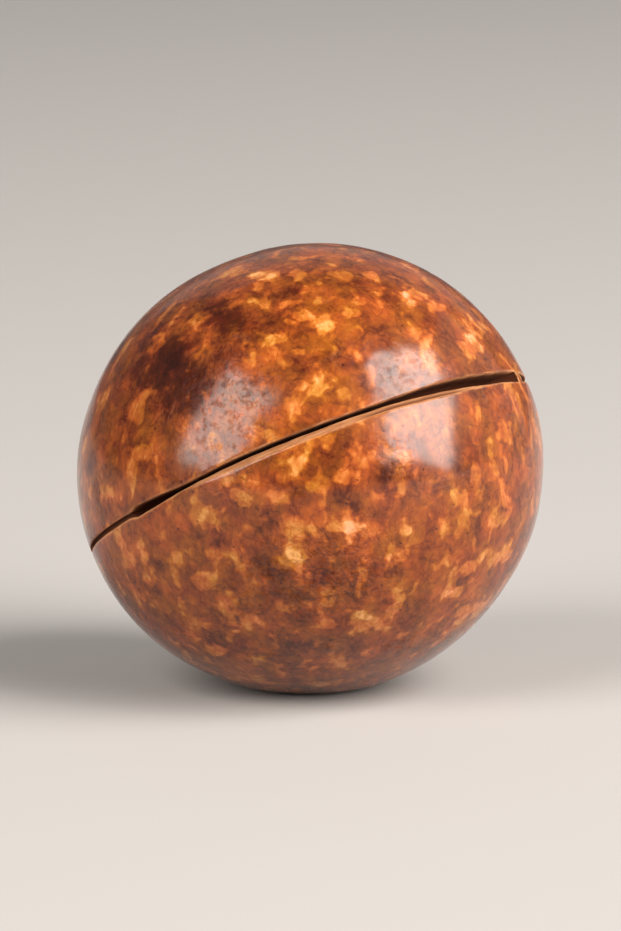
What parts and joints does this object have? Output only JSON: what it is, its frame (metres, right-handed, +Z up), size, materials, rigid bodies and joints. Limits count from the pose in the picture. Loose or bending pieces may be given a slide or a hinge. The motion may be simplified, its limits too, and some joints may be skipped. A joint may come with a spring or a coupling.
{
  "type": "macadamia nut in shell",
  "caption": "Round hard-shelled nut with a narrow saw cut part of the way round, where a key prises it open, and a small flat scar that it rests on.",
  "frame": {"origin": "middle of the flat scar at the stalk end, which the nut rests on", "axes": "+Z up, -Y towards the front, which shows the middle of the saw cut; the cut climbs towards +X"},
  "size_m": [0.025, 0.0244, 0.0239],
  "materials": {
    "shell": "satin"
  },
  "bodies": {
    "root": {"macadamia_nut": "shell"}
  },
  "joints": []
}
